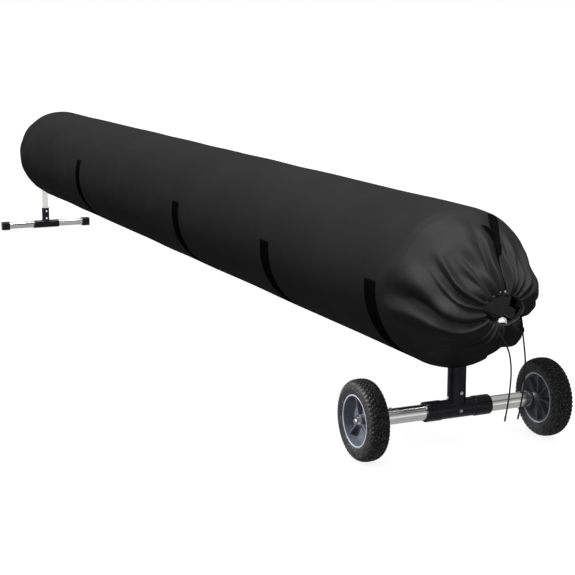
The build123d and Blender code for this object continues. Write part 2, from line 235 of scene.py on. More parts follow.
def fabric_material(name, dark, light):
    """Coated black polyester: a fine weave, faint creases and a soft sheen."""
    m = Nodes(name, (dark, dark, dark), 0.5)
    m.set("Specular IOR Level", 0.0)
    m.set("Coat Weight", 0.065)
    where = m.place()
    cloudy = m.noise(where, 3.0, 4.0)
    m.colours(cloudy, [(0.30, (dark, dark, dark * 1.02)), (0.75, (light, light, light * 1.02))])
    m.to("Coat Roughness", m.ramp(m.noise(where, 14.0, 3.0), 0.3, 0.7, 0.38, 0.50))
    creases = m.bump(m.noise(where, 22.0, 6.0, 0.65), 0.42, 0.004)
    woven = m.bump(weave_height(m, 0.0011), 0.22, 0.0004, creases)
    m.to("Normal", woven)
    m.to("Coat Normal", woven)
    return m.material


def webbing_material(name, colour, rib):
    """Matt polyester webbing with ribs along and across it."""
    m = Nodes(name, colour, 0.7)
    m.set("Specular IOR Level", 0.0)
    where = m.place()
    uv = m.add("ShaderNodeSeparateXYZ", {"Vector": m.add("ShaderNodeTexCoord").outputs["UV"]}).outputs
    ribs = m.math("SINE", m.math("MULTIPLY", uv["Y"], TAU / rib))
    cross = m.math("SINE", m.math("MULTIPLY", uv["X"], TAU / (rib * 0.8)))
    height = m.math("ADD", ribs, m.math("MULTIPLY", cross, 0.6))
    dark = tuple(c * 0.75 for c in colour)
    light = tuple(c * 1.3 for c in colour)
    m.colours(m.noise(where, 60.0, 3.0), [(0.3, dark), (0.7, light)])
    m.to("Normal", m.bump(height, 0.4, 0.0006))
    return m.material


def plastic_material(name, colour, rough, grain=900.0, depth=0.00012, spec=0.4):
    """Moulded plastic: a fine grain, slight mottling and dust."""
    m = Nodes(name, colour, rough)
    m.set("Specular IOR Level", spec)
    where = m.place()
    dark = tuple(c * 0.85 for c in colour)
    light = tuple(min(1.0, c * 1.25 + 0.002) for c in colour)
    m.colours(m.noise(where, 25.0, 4.0), [(0.3, dark), (0.75, light)])
    m.to("Roughness", m.ramp(m.noise(where, 60.0, 3.0), 0.3, 0.7, rough - 0.06, rough + 0.08))
    m.to("Normal", m.bump(m.noise(where, grain, 2.0), 0.35, depth))
    return m.material


def metal_material(name, colour, rough, stretch, anisotropic=0.0):
    """Drawn or turned metal: fine streaks along the part, small stains in the polish."""
    m = Nodes(name, colour, rough)
    m.set("Metallic", 1.0)
    m.set("Anisotropic", anisotropic)
    streaks = m.noise(m.place(scale=stretch), 40.0, 4.0, 0.6)
    stains = m.noise(m.place(), 18.0, 4.0)
    mixed = m.math("ADD", m.math("MULTIPLY", streaks, 0.5), m.math("MULTIPLY", stains, 0.5))
    low = tuple(c * 0.90 for c in colour)
    m.colours(mixed, [(0.35, low), (0.65, colour)])
    m.to("Roughness", m.ramp(mixed, 0.3, 0.7, rough * 0.75, rough * 1.35))
    m.to("Normal", m.bump(streaks, 0.10, 0.0001))
    return m.material


def grip_material():
    """A black grip whose turned end is bright: the finish follows the direction the face looks in."""
    m = Nodes("spinner_grip", (0.9, 0.9, 0.9), 0.34)
    axis = m.add("ShaderNodeSeparateXYZ", {"Vector": m.place("Normal")}).outputs["X"]
    bright = m.ramp(axis, 0.25, 0.45)
    m.colours(bright, [(0.0, (0.010, 0.010, 0.011)), (1.0, (0.93, 0.93, 0.93))])
    m.to("Metallic", m.math("MULTIPLY", bright, 0.45))
    m.to("Normal", m.bump(m.noise(m.place(), 500.0), 0.2, 0.0001))
    return m.material


def rubber_material():
    """Charcoal tyre rubber, greyed by dust in the tread."""
    m = Nodes("tyre_rubber", (0.012, 0.012, 0.0125), 0.6)
    m.set("Specular IOR Level", 0.25)
    where = m.place()
    dust = m.noise(where, 260.0, 3.0, 0.7)
    clean, worn, speck = (0.0065, 0.0063, 0.0074), (0.0105, 0.0102, 0.0114), (0.110, 0.106, 0.112)
    m.colours(dust, [(0.42, clean), (0.56, worn), (0.66, speck)])
    m.to("Roughness", m.ramp(m.noise(where, 80.0, 3.0), 0.3, 0.7, 0.42, 0.70))
    m.to("Normal", m.bump(m.noise(where, 1100.0, 2.0), 0.4, 0.0002))
    return m.material


def cord_material():
    """A braided polyester cord."""
    m = Nodes("draw_cord", (0.004, 0.004, 0.0042), 0.65)
    m.set("Specular IOR Level", 0.10)
    where = m.place()
    braid = m.add("ShaderNodeTexVoronoi", {"Vector": where, "Scale": 650.0}).outputs["Distance"]
    m.colours(m.noise(where, 200.0, 2.0), [(0.3, (0.003, 0.003, 0.003)), (0.7, (0.006, 0.006, 0.006))])
    m.to("Normal", m.bump(braid, 0.6, 0.0005))
    return m.material


black = plastic_material("black_plastic", (0.0040, 0.0040, 0.0056), 0.24, spec=0.16)
wheel_plastic = plastic_material("handwheel_plastic", (0.030, 0.030, 0.032), 0.5)
bush_plastic = plastic_material("bush_plastic", (0.55, 0.55, 0.53), 0.45)
cap_rubber = plastic_material("cap_rubber", (0.0045, 0.0045, 0.0050), 0.5, 700.0, 0.0002, 0.12)
hub_grey = plastic_material("hub_plastic", (0.082, 0.093, 0.112), 0.40, spec=0.25)
# painted highlight: the lighter lip colour stands in for the bright edge highlight round the hub's rim
hub_lip_painted_highlight = plastic_material("hub_lip_painted_highlight", (0.36, 0.38, 0.42), 0.35)
blanket = plastic_material("blanket_sheet", (0.05, 0.16, 0.36), 0.5, 90.0, 0.002)
stainless = metal_material("stainless_tube", (0.72, 0.71, 0.70), 0.16, (1, 0.05, 1))
upright_steel = metal_material("upright_steel", (0.72, 0.71, 0.70), 0.18, (1, 1, 0.05))
rod_steel = metal_material("steel_rod", (0.50, 0.50, 0.51), 0.30, (1, 1, 1))
aluminium = metal_material("reel_aluminium", (0.70, 0.70, 0.71), 0.32, (0.03, 1, 1))
chrome = metal_material("bright_fasteners", (0.86, 0.86, 0.87), 0.12, (1, 1, 1))
grip_finish = grip_material()
grip_bright = plastic_material("grip_cap", (0.80, 0.80, 0.80), 0.25, spec=0.6)
rubber = rubber_material()
fabric = fabric_material("sleeve_fabric", 0.0070, 0.0092)
# painted highlight: both hems use a lighter copy of the sleeve cloth, standing in for the light along the
# hem's lit edge
hem_fabric_painted_highlight = fabric_material("hem_fabric_painted_highlight", 0.014, 0.020)
webbing = webbing_material("webbing", (0.0016, 0.0016, 0.0017), 0.0016)
cord_black = cord_material()
trim_black = plastic_material("cord_trim", (0.012, 0.012, 0.012), 0.4)


# ---------------------------------------------------------------- finish of the CAD parts
FINISHES = {
    "near_tee": black,
    "near_collar_left": black,
    "near_collar_right": black,
    "far_tee": black,
    "near_bearing_housing": black,
    "far_bearing_housing": black,
    "near_end_plug": black,
    "far_end_plug": black,
    "handwheel": wheel_plastic,
    "axle_plug_left": black,
    "axle_plug_right": black,
    "axle_spacer_left": rod_steel,
    "axle_spacer_right": rod_steel,
    "near_bearing_bush": bush_plastic,
    "far_bearing_bush": bush_plastic,
    "wheel_left_bush": bush_plastic,
    "wheel_right_bush": bush_plastic,
    "near_base_tube": stainless,
    "far_base_tube": stainless,
    "near_upright_tube": upright_steel,
    "far_upright_tube": upright_steel,
    "axle_rod_left": rod_steel,
    "axle_rod_right": rod_steel,
    "near_axle_shaft": rod_steel,
    "far_axle_shaft": rod_steel,
    "grip_pin": rod_steel,
    "near_tee_screws": chrome,
    "far_tee_screws": chrome,
    "axle_washers": chrome,
    "axle_nuts": chrome,
    "axle_plug_screws": chrome,
    "reel_tube_screws": chrome,
    "handwheel_bolt": chrome,
    "pull_strap_rivets": rod_steel,
    "reel_tube_near": aluminium,
    "reel_tube_centre": aluminium,
    "reel_tube_far": aluminium,
    "spinner_grip": grip_finish,
    "far_foot_cap_left": cap_rubber,
    "far_foot_cap_right": cap_rubber,
    "blanket_roll": blanket,
    "drawcord_sheath": webbing,
    "drawcord_tips": trim_black,
    "drawcord_eyelet": trim_black,
}
for piece in list(bpy.data.objects):
    if "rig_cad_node" in piece and piece["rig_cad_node"] in FINISHES:
        for place in piece.material_slots:
            place.material = FINISHES[piece["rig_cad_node"]]


# ---------------------------------------------------------------- draw cord tails
LEFT_TAIL = [
    (204.2, -15.0, 343.0),
    (208.0, -9.5, 330.0),
    (210.0, 1.0, 314.0),
    (210.5, 12.0, 294.0),
    (210.0, 18.5, 268.0),
    (210.0, 21.0, 238.0),
    (209.5, 19.5, 204.0),
    (209.0, 16.0, 168.0),
    (208.5, 10.0, 134.0),
]
RIGHT_TAIL = [
    (207.0, 50.5, 338.0),
    (208.0, 53.0, 319.0),
    (208.0, 57.5, 292.0),
    (208.5, 60.5, 262.0),
    (208.5, 60.5, 230.0),
    (208.0, 58.5, 198.0),
    (207.0, 54.5, 166.0),
    (206.0, 48.5, 134.0),
]


def cord_tail(name, points):
    """A limp braided tail that hangs from the gathered mouth to its tip."""
    curve = bpy.data.curves.new(name, "CURVE")
    curve.dimensions = "3D"
    curve.bevel_depth = 2.0 * MM
    curve.bevel_resolution = 5
    curve.use_fill_caps = True
    curve.materials.append(cord_black)
    spline = curve.splines.new("NURBS")
    spline.points.add(len(points) - 1)
    for point, (x, y, z) in zip(spline.points, points):
        point.co = (near_x + x * MM, y * MM, z * MM, 1)
    spline.order_u = 3
    spline.use_endpoint_u = True
    spline.resolution_u = 8
    piece = bpy.data.objects.new(name, curve)
    bpy.context.scene.collection.objects.link(piece)
    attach(piece, "base")
    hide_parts(name.replace("tail", "drawcord"))


cord_tail("tail_left", LEFT_TAIL)
cord_tail("tail_right", RIGHT_TAIL)


# ---------------------------------------------------------------- sleeve
# Ridges of the gathered end. Each is the angle from the top towards -Y where it begins, the angle
# at the mouth, how far along it begins (0 is the shoulder, 1 the mouth), its height and its width.
RIDGES = [
    (-2, 10, 0.18, 14, 5.0),
    (16, 25, 0.14, 11, 8.0),
    (32, 45, 0.36, 9, 3.8),
    (44, 70, 0.26, 18, 3.4),
    (58, 84, 0.24, 12, 3.2),
    (74, 100, -0.15, 24, 9.0),
    (99, 118, -0.12, 26, 5.0),
    (118, 132, 0.30, 12, 7.0),
    (132, 144, 0.34, 15, 4.2),
    (146, 155, 0.36, 14, 3.6),
    (162, 167, 0.30, 15, 4.6),
    (182, 181, 0.28, 12, 5.0),
    (220, 215, 0.10, 16, 9.0),
    (236, 230, 0.25, 13, 9.0),
    (264, 252, 0.30, 4, 5.0),
    (272, 262, 0.20, 5, 5.0),
    (287, 277, 0.16, 13, 6.0),
    (301, 291, 0.30, 13, 4.4),
    (313, 304, 0.20, 16, 4.6),
    (324, 317, 0.36, 12, 3.2),
    (333, 329, 0.22, 15, 3.8),
    (343, 340, 0.20, 14, 3.2),
]
# Creases pressed into the cloth, in the same form: the one under the pull strap is the deepest.
CREASES = [
    (-18, -9, 0.02, 12, 4.2),
    (6, 18, 0.45, 8, 2.6),
    (88, 109, -0.10, 13, 5.0),
    (51, 77, 0.40, 7, 2.0),
    (202, 196, 0.00, 20, 9.0),
    (250, 243, 0.00, 37, 11.0),
    (268, 262, -0.05, 15, 24.0),
]
OVERLAP_HALF = 20.0
# how much of the folds' mean height is taken off again, so that the dome keeps its outline
MEAN_SHARE = 0.90
MOUTH_HALF_WIDTH = 56.0
MOUTH_HALF_HEIGHT = 38.0
MOUTH_DROP = 17.0
DOME_X = [0, 25, 50, 75, 100, 125, 150, 170, 184, 193, 198, 200.5, 200]
DOME_R = [200, 193, 180, 166, 151, 135, 117, 103, 91, 80, 68, 54, 45]


def profile_near(t):
    """X from the near stand, mean radius and drop of the near dome, from shoulder (0) to hem (1)."""
    run = np.concatenate([[0], np.cumsum(np.hypot(np.diff(DOME_X), np.diff(DOME_R)))])
    run /= run[-1]
    return np.interp(t, run, DOME_X), np.interp(t, run, DOME_R), MOUTH_DROP * smoothstep(0.1, 1.0, t)


def oval(angle):
    """The mouth's radius towards an angle, as a share of its mean radius."""
    a = np.radians(angle)
    across = np.sin(a) / MOUTH_HALF_WIDTH
    up = np.cos(a) / MOUTH_HALF_HEIGHT
    return 1 / np.sqrt(across * across + up * up) / DOME_R[-1]


def bumps(table, t, angle, sharpness):
    """The softened maximum of a table's bumps; a high sharpness leaves creases between them."""
    total = np.zeros(np.broadcast(t, angle).shape)
    for start_angle, end_angle, begin, height, width in table:
        centre = start_angle + (end_angle - start_angle) * smoothstep(0.2, 1.05, t)
        away = (angle - centre + 180) % 360 - 180
        spread = width * (1.30 - 0.30 * smoothstep(0.2, 1.0, t))
        grown = smoothstep(begin, begin + 0.42, t) * (1 - 0.62 * smoothstep(0.78, 1.0, t))
        total = total + (height * grown * np.exp(-((away / spread) ** 2))) ** sharpness
    return total ** (1 / sharpness)


def fold_height(t, angle):
    """Height of the gathers in millimetres over the smooth dome; t is negative along the barrel."""
    return bumps(RIDGES, t, angle, 2.6) - bumps(CREASES, t, angle, 1.5)


FAR_DOME = 200.0
FAR_MOUTH_R = 36.0
FAR_ROUNDNESS = 0.52
FAR_GATHERS = ((19, 0.4), (23, 2.1), (31, 1.0))
BLEND = 300.0
UPRIGHT_HOLE_R = 27.0 * MM


def sleeve_stations():
    """Places along the sleeve from the far hem to the near mouth: t values per region."""
    far = np.linspace(1, 0, 64)[:-1]
    barrel = np.linspace(0, 1, 96)[:-1]
    blend = np.linspace(-1, 0, 44)[:-1]
    near = np.linspace(0, 1, 92)
    return far, barrel, blend, near


def build_sleeve():
    """The sleeve as one sheet wrapped round the reel: its points, faces, cloth coordinates and length."""
    columns = 420
    angle = np.linspace(-180 - OVERLAP_HALF, 180 + OVERLAP_HALF, columns)[None, :]
    full = sleeve_r / MM
    far, barrel, blend, near = sleeve_stations()
    full_far = (far_mouth_x - near_x) / MM + FAR_DOME
    rng = np.random.default_rng(7)
    xs, rs, drops, folds = [], [], [], []

    far_x_mm = full_far - FAR_DOME * np.sin(far * math.pi / 2)
    far_r_mm = FAR_MOUTH_R + (full - FAR_MOUTH_R) * np.cos(far * math.pi / 2) ** FAR_ROUNDNESS
    far_fold = sum(3.2 * np.cos(np.radians(angle) * n + p) for n, p in FAR_GATHERS)
    for t, x, r in zip(far, far_x_mm, far_r_mm):
        xs.append(x)
        rs.append(r)
        drops.append(0.0)
        grown = smoothstep(0.62, 0.92, t) * (1 - 0.75 * smoothstep(0.92, 1.0, t))
        folds.append(0.6 * far_fold[0] * grown)
    for t in barrel:
        xs.append(full_far + (-BLEND - full_far) * t)
        rs.append(full)
        drops.append(0.0)
        folds.append(np.zeros(columns))
    for t in blend:
        xs.append(BLEND * t)
        rs.append(full)
        drops.append(0.0)
        folds.append(fold_height(t, angle)[0])
    near_xs, near_rs, near_drops = profile_near(near)
    for t, x, r, drop in zip(near, near_xs, near_rs, near_drops):
        xs.append(x)
        rs.append(r)
        drops.append(drop)
        folds.append(fold_height(t, angle)[0])
    # the edge turned in behind the hem
    for x, r in ((197.5, 41.0), (192.0, 40.0), (187.0, 42.0), (183.0, 47.0)):
        xs.append(x)
        rs.append(r)
        drops.append(MOUTH_DROP)
        folds.append(folds[-1] * 0.6)
    xs, rs, drops = (np.array(v, dtype=float)[:, None] for v in (xs, rs, drops))
    folds = np.array(folds)

    # the normal of the smooth profile, so that the folds stand out from the surface
    run = np.hypot(np.gradient(xs[:, 0]), np.gradient(rs[:, 0]))
    normal_x = (-np.gradient(rs[:, 0]) / run)[:, None]
    normal_r = (np.gradient(xs[:, 0]) / run)[:, None]
    lift = folds - MEAN_SHARE * folds.mean(axis=1, keepdims=True)

    # soft long waves in the barrel, and small irregular creases in the gathered end
    theta = np.radians(angle)
    gather = smoothstep(-110, 110, xs) + 0.5 * smoothstep(full_far + 150, full_far - 40, xs)
    for _ in range(14):
        waves_x = rng.uniform(0.6, 3.0) / 1000
        turns = rng.integers(1, 5)
        phase = rng.uniform(0, TAU)
        lift = lift + 0.22 * np.sin(TAU * waves_x * xs + turns * theta + phase)
    for _ in range(26):
        waves_x = rng.uniform(4.0, 14.0) / 1000
        turns = rng.integers(3, 16)
        phase = rng.uniform(0, TAU)
        lift = lift + 0.42 * gather * np.sin(TAU * waves_x * xs + turns * theta + phase)

    # the lap under the roll: the edge from the -Y side lies outside the other one
    lap = smoothstep(180 - OVERLAP_HALF - 14, 180 - OVERLAP_HALF, angle)
    tuck = smoothstep(-180 + OVERLAP_HALF + 14, -180 + OVERLAP_HALF, angle)
    lift = lift + 2.0 * lap - 2.6 * tuck

    to_mouth = smoothstep(30, 200, xs)
    radius = rs * (1 + (oval(angle) - 1) * to_mouth ** 2) + lift * normal_r
    x = near_x / MM + xs + lift * normal_x
    y = -radius * np.sin(theta)
    z = axis_z / MM - drops + radius * np.cos(theta)
    verts = np.stack([x, y, z], -1).reshape(-1, 3) * MM
    length = np.concatenate([[0], np.cumsum(np.hypot(np.diff(xs[:, 0]), np.diff(rs[:, 0])))])
    u = np.repeat(length[:, None], columns, 1)
    v = np.repeat(np.radians(angle) * full, len(xs), 0)
    uvs = np.stack([u, v], -1).reshape(-1, 2) * MM
    faces = grid_faces(len(xs), columns, False)

    # a round opening under the roll for the near upright
    centre = np.array([near_x, 0.0])
    flat = verts[:, :2] - centre
    away = np.hypot(flat[:, 0], flat[:, 1])
    low_side = verts[:, 2] < axis_z
    inside = (away < UPRIGHT_HOLE_R) & low_side
    keep = ~inside[faces].all(axis=1)
    faces = faces[keep]
    edge = np.zeros(len(verts), dtype=bool)
    edge[np.unique(faces)] = True
    snap = inside & edge
    scale = UPRIGHT_HOLE_R / np.maximum(away[snap], 1e-6)
    verts[snap, :2] = centre + flat[snap] * scale[:, None]
    return verts, faces, uvs, length[-1] * MM


sleeve_verts, sleeve_faces, sleeve_uvs, sleeve_length = build_sleeve()
used = np.unique(sleeve_faces)
renumber = np.full(len(sleeve_verts), -1)
renumber[used] = np.arange(len(used))
sleeve_sheet = (sleeve_verts[used], renumber[sleeve_faces])
sleeve = new_piece("sleeve_cloth", *sleeve_sheet, fabric, uvs=sleeve_uvs[used])
modifier(sleeve, "SOLIDIFY", thickness=cloth, offset=-1)
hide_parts("cover_sleeve", "sleeve_end_panel")


def hem_ring(name, node, x, z, half_width, half_height, thick, pleats, inward):
    """A rolled hem: a soft ring, puckered where its cord or elastic gathers it, in cloth painted lighter as
    a highlight.
    """
    around, across = 240, 16
    rng = random.Random(5)
    wobble = [(rng.randint(4, 9), rng.uniform(0, TAU)) for _ in range(3)]
    verts = []
    for i in range(across):
        turn = TAU * i / across
        for j in range(around):
            a = TAU * j / around
            pucker = abs(math.sin(a * pleats / 2 + 0.5 * math.sin(3 * a))) ** 0.6
            uneven = sum(math.sin(n * a + p) for n, p in wobble) * 0.25
            size = thick * (0.72 + 0.38 * pucker)
            grow = uneven * MM + size * math.cos(turn)
            y = -(half_width + grow) * math.sin(a)
            depth = inward * size * 0.85 * math.sin(turn)
            verts.append((x + depth, y, z + (half_height + grow) * math.cos(a)))
    faces = [tuple(int(v) for v in f) for f in grid_faces(across + 1, around, True) % (across * around)]
    ring = new_piece(name, verts, faces, hem_fabric_painted_highlight)
    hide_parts(node)
    return ring


mouth_width = MOUTH_HALF_WIDTH * MM
mouth_height = MOUTH_HALF_HEIGHT * MM
mouth_hem_x = mouth_x - 1.0 * MM
hem_ring("mouth_hem_roll", "mouth_hem", mouth_hem_x, mouth_z, mouth_width, mouth_height, 2.6 * MM, 44, 1)
far_hem_r = 37.4 * MM
far_hem_x = far_mouth_x + 1.5 * MM
hem_ring("far_hem_roll", "far_elastic_hem", far_hem_x, axis_z, far_hem_r, far_hem_r, 3.0 * MM, 56, -1)


# ---------------------------------------------------------------- straps
STRAP_WIDTH = 60 * MM
STRAP_THICK = 1.6 * MM
STRAP_END = 204


def strap_band(name, node, x, start, end, width, thick):
    """Webbing that lies round the sleeve; angles run from the top towards -Y."""
    rows, columns = 60, 13
    verts, uvs = [], []
    radius = sleeve_r + 1.4 * MM
    for i in range(rows):
        a = math.radians(start + (end - start) * i / (rows - 1))
        for j in range(columns):
            across = (j / (columns - 1) - 0.5) * width
            sag = 0.5 * MM * math.sin(7 * a + x * 3)
            edge = 0.9 * MM * (abs(j / (columns - 1) - 0.5) * 2) ** 6
            r = radius - edge
            verts.append((x + across + sag, -r * math.sin(a), axis_z + r * math.cos(a)))
            uvs.append((radius * a, across))
    band = new_piece(name, verts, grid_faces(rows, columns, False), webbing, uvs=uvs)
    modifier(band, "SOLIDIFY", thickness=thick, offset=1)
    modifier(band, "BEVEL", width=0.5 * MM, segments=2, limit_method="ANGLE")
    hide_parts(node)
    return band


for number in range(1, 5):
    node = f"closure_strap_{number}"
    low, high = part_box(node)
    top = math.degrees(math.acos(max(-1, min(1, (high[2] - axis_z) / (sleeve_r + 2.6 * MM)))))
    strap_x = (low[0] + high[0]) / 2
    strap_band(f"closing_strap_{number}", node, strap_x, top, STRAP_END, STRAP_WIDTH, STRAP_THICK)


def dome_point(t, angle_degrees, lift, mean):
    """A point on the folded near dome, lifted off it by some millimetres; mean is the folds' mean."""
    step = 0.01
    here = profile_near(t)
    ahead = profile_near(min(t + step, 1.0))
    back = profile_near(max(t - step, 0.0))
    run_x, run_r = ahead[0] - back[0], ahead[1] - back[1]
    run = math.hypot(run_x, run_r)
    off = float(fold_height(np.array([t]), np.array([angle_degrees]))[0]) - MEAN_SHARE * mean + lift
    to_mouth = float(smoothstep(30, 200, here[0])) ** 2
    radius = here[1] * (1 + (float(oval(angle_degrees)) - 1) * to_mouth) + off * run_x / run
    a = math.radians(angle_degrees)
    return (near_x + (here[0] - off * run_r / run) * MM, -radius * math.sin(a) * MM,
            axis_z + (radius * math.cos(a) - here[2]) * MM)


def dome_strap(name, path, width, thick):
    """Webbing along the dome; path is (t, angle) from its top end to the mouth, width in metres. Lower down
    it narrows to a thin dark strip, which is painted shadow for the crease below the strap.
    """
    rows, columns = 46, 9
    places = [p[0] for p in path]
    turns = [p[1] for p in path]
    verts, uvs = [], []
    for i in range(rows):
        t = places[0] + (places[-1] - places[0]) * i / (rows - 1)
        angle = float(np.interp(t, places, turns))
        radius = max(float(profile_near(t)[1]), 40.0)
        # lower down the webbing narrows to a thin dark strip: painted shadow standing in for the crease that
        # runs on to the mouth
        wide = width * (1 - 0.80 * float(smoothstep(0.25, 0.70, t)))
        mean = float(fold_height(t, np.linspace(-180, 180, 361)).mean())
        for j in range(columns):
            across = (j / (columns - 1) - 0.5) * wide
            offset = math.degrees(across / (radius * MM))
            crown = 1.2 - 2.0 * abs(across / wide) ** 2
            verts.append(dome_point(t, angle + offset, 1.0 + crown, mean))
            uvs.append((0.3 * i / rows, across))
    band = new_piece(name, verts, grid_faces(rows, columns, False), webbing, uvs=uvs)
    modifier(band, "SOLIDIFY", thickness=thick, offset=1)
    return band


# the long leg runs on to the mouth; its narrow dark lower part is painted crease shadow
LONG_PATH = [(0.10, -22), (0.3, -18), (0.6, -12), (0.97, -8)]
SHORT_PATH = [(0.33, -6), (0.42, -13), (0.5, -15.5), (0.58, -14)]
long_leg_and_crease_shadow = dome_strap("pull_strap_long", LONG_PATH, 26 * MM, STRAP_THICK)
short_leg = dome_strap("pull_strap_short", SHORT_PATH, 24 * MM, STRAP_THICK)
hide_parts("pull_strap")
# the cloth keeps out of mirror reflections, so that the bright tubes under it show the pale room
for cloth_piece in (sleeve, long_leg_and_crease_shadow, short_leg):
    cloth_piece.visible_glossy = False


# ---------------------------------------------------------------- end of the spinner grip
def grip_cap():
    """A bright domed cap that closes the open end of the spinner grip."""
    low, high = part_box("spinner_grip")
    centre_y, centre_z = (low[1] + high[1]) / 2, (low[2] + high[2]) / 2
    radius, rise, rows, steps = 11.4 * MM, 3.0 * MM, 8, 48
    verts = []
    for i in range(rows):
        tilt = math.pi / 2 * i / rows
        for j in range(steps):
            a = TAU * j / steps
            flat = radius * math.cos(tilt)
            verts.append((high[0] - 1.6 * MM + rise * math.sin(tilt), centre_y + flat * math.cos(a),
                          centre_z + flat * math.sin(a)))
    faces = [tuple(f) for f in grid_faces(rows, steps, True)]
    faces.append(tuple(range((rows - 1) * steps, rows * steps)))
    faces.append(tuple(reversed(range(steps))))
    cap = new_piece("grip_cap", verts, faces, grip_bright, "spinner")


grip_cap()


# ---------------------------------------------------------------- wheels
def wheel_point(centre, side, radius, out, turn):
    """A point about a wheel's axis: radius and distance outwards in millimetres, turn in radians."""
    x = centre.x + radius * MM * math.cos(turn)
    return x, centre.y + side * out * MM, centre.z + radius * MM * math.sin(turn)


def lathe(name, outline, centre, side, steps, materials, body, face_slots=None):
    """A turned piece about a wheel's axis; outline is (radius, distance outwards) in millimetres."""
    verts = []
    for radius, out in outline:
        for j in range(steps):
            a = TAU * j / steps
            verts.append(wheel_point(centre, side, radius, out, a))
    rows = len(outline)
    faces = grid_faces(rows + 1, steps, True) % (rows * steps)
    if side < 0:
        faces = faces[:, ::-1]
    piece = new_piece(name, verts, faces, materials, body)
    if face_slots:
        for row, slot in face_slots.items():
            for j in range(steps):
                piece.data.polygons[row * steps + j].material_index = slot
    return piece


def tyre(name, node, centre, side, body):
    """A solid rubber tyre: smooth walls, a raised ring on them and staggered tread blocks."""
    # across the tread: distance from the middle, radius at a block, radius in a groove
    half = [
        (0.0, 101.5, 98.5),
        (3.4, 101.5, 98.5),
        (3.8, 98.7, 98.5),
        (5.2, 98.7, 98.5),
        (5.6, 101.3, 98.3),
        (10.4, 100.9, 97.9),
        (10.8, 98.1, 97.9),
        (12.2, 97.8, 97.6),
        (12.6, 100.4, 97.4),
        (17.6, 98.6, 95.8),
        (18.0, 95.9, 95.7),
        (19.2, 95.3, 95.1),
        (19.6, 97.6, 94.8),
        (23.8, 94.2, 91.8),
    ]
    wall = [
        (26.0, 89.0), (27.0, 85.6), (27.4, 82.0), (27.4, 79.6), (28.0, 79.0), (28.0, 77.6), (27.4, 77.0),
        (27.0, 72.0), (26.0, 68.0), (24.6, 65.8), (21.0, 64.6),
    ]
    pitches = 52
    stations = []
    for k in range(pitches):
        for part in (0.0, 0.05, 0.25, 0.45, 0.5, 0.55, 0.75, 0.95):
            stations.append((k + part) / pitches)
    across = [(-w, high, low) for w, high, low in reversed(half[1:])] + half

    def block_here(distance, turn):
        """Whether a block, and not a groove, is at this place; neighbouring rows are staggered."""
        row = sum(abs(distance) > edge for edge in (5.4, 12.4, 19.4))
        shift = 0.5 * ((row + (1 if distance < 0 else 0)) % 2)
        lean = 0.010 * distance
        phase = (turn * pitches + shift + lean) % 1.0
        return 0.04 < phase < 0.60

    outline = [(-w, r, r) for w, r in reversed(wall)] + across + [(w, r, r) for w, r in wall]
    outline += [(18.0, 63.0, 63.0), (-18.0, 63.0, 63.0)]
    verts = []
    for distance, high, low in outline:
        for turn in stations:
            radius = high if block_here(distance, turn) else low
            verts.append(wheel_point(centre, side, radius, distance, TAU * turn))
    count = len(stations)
    faces = grid_faces(len(outline) + 1, count, True) % (len(outline) * count)
    if side < 0:
        faces = faces[:, ::-1]
    piece = new_piece(name, verts, faces, rubber, body, smooth=False)
    modifier(piece, "BEVEL", width=0.35 * MM, segments=1, limit_method="ANGLE", angle_limit=math.radians(40))
    piece.data.polygons.foreach_set("use_smooth", np.ones(len(piece.data.polygons), dtype=bool))
    piece.data.set_sharp_from_angle(angle=math.radians(35))
    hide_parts(node)


def fin(centre, side, angle, inner, outer, low, high_in, high_out, thick):
    """The eight corners of one rib of the hub, between two radii."""
    a = math.radians(angle)
    along = Vector((math.cos(a), 0, math.sin(a)))
    over = Vector((-math.sin(a), 0, math.cos(a)))
    corners = []
    for radius, high in ((inner, high_in), (outer, high_out)):
        for offset in (-thick / 2, thick / 2):
            for out in (low, high):
                wide = offset if out == low else offset * 0.7
                outwards = Vector((0, side * out * MM, 0))
                corners.append(centre + along * radius * MM + over * wide * MM + outwards)
    return corners


FIN_FACES = [(0, 1, 3, 2), (4, 6, 7, 5), (0, 4, 5, 1), (2, 3, 7, 6), (1, 5, 7, 3), (0, 2, 6, 4)]


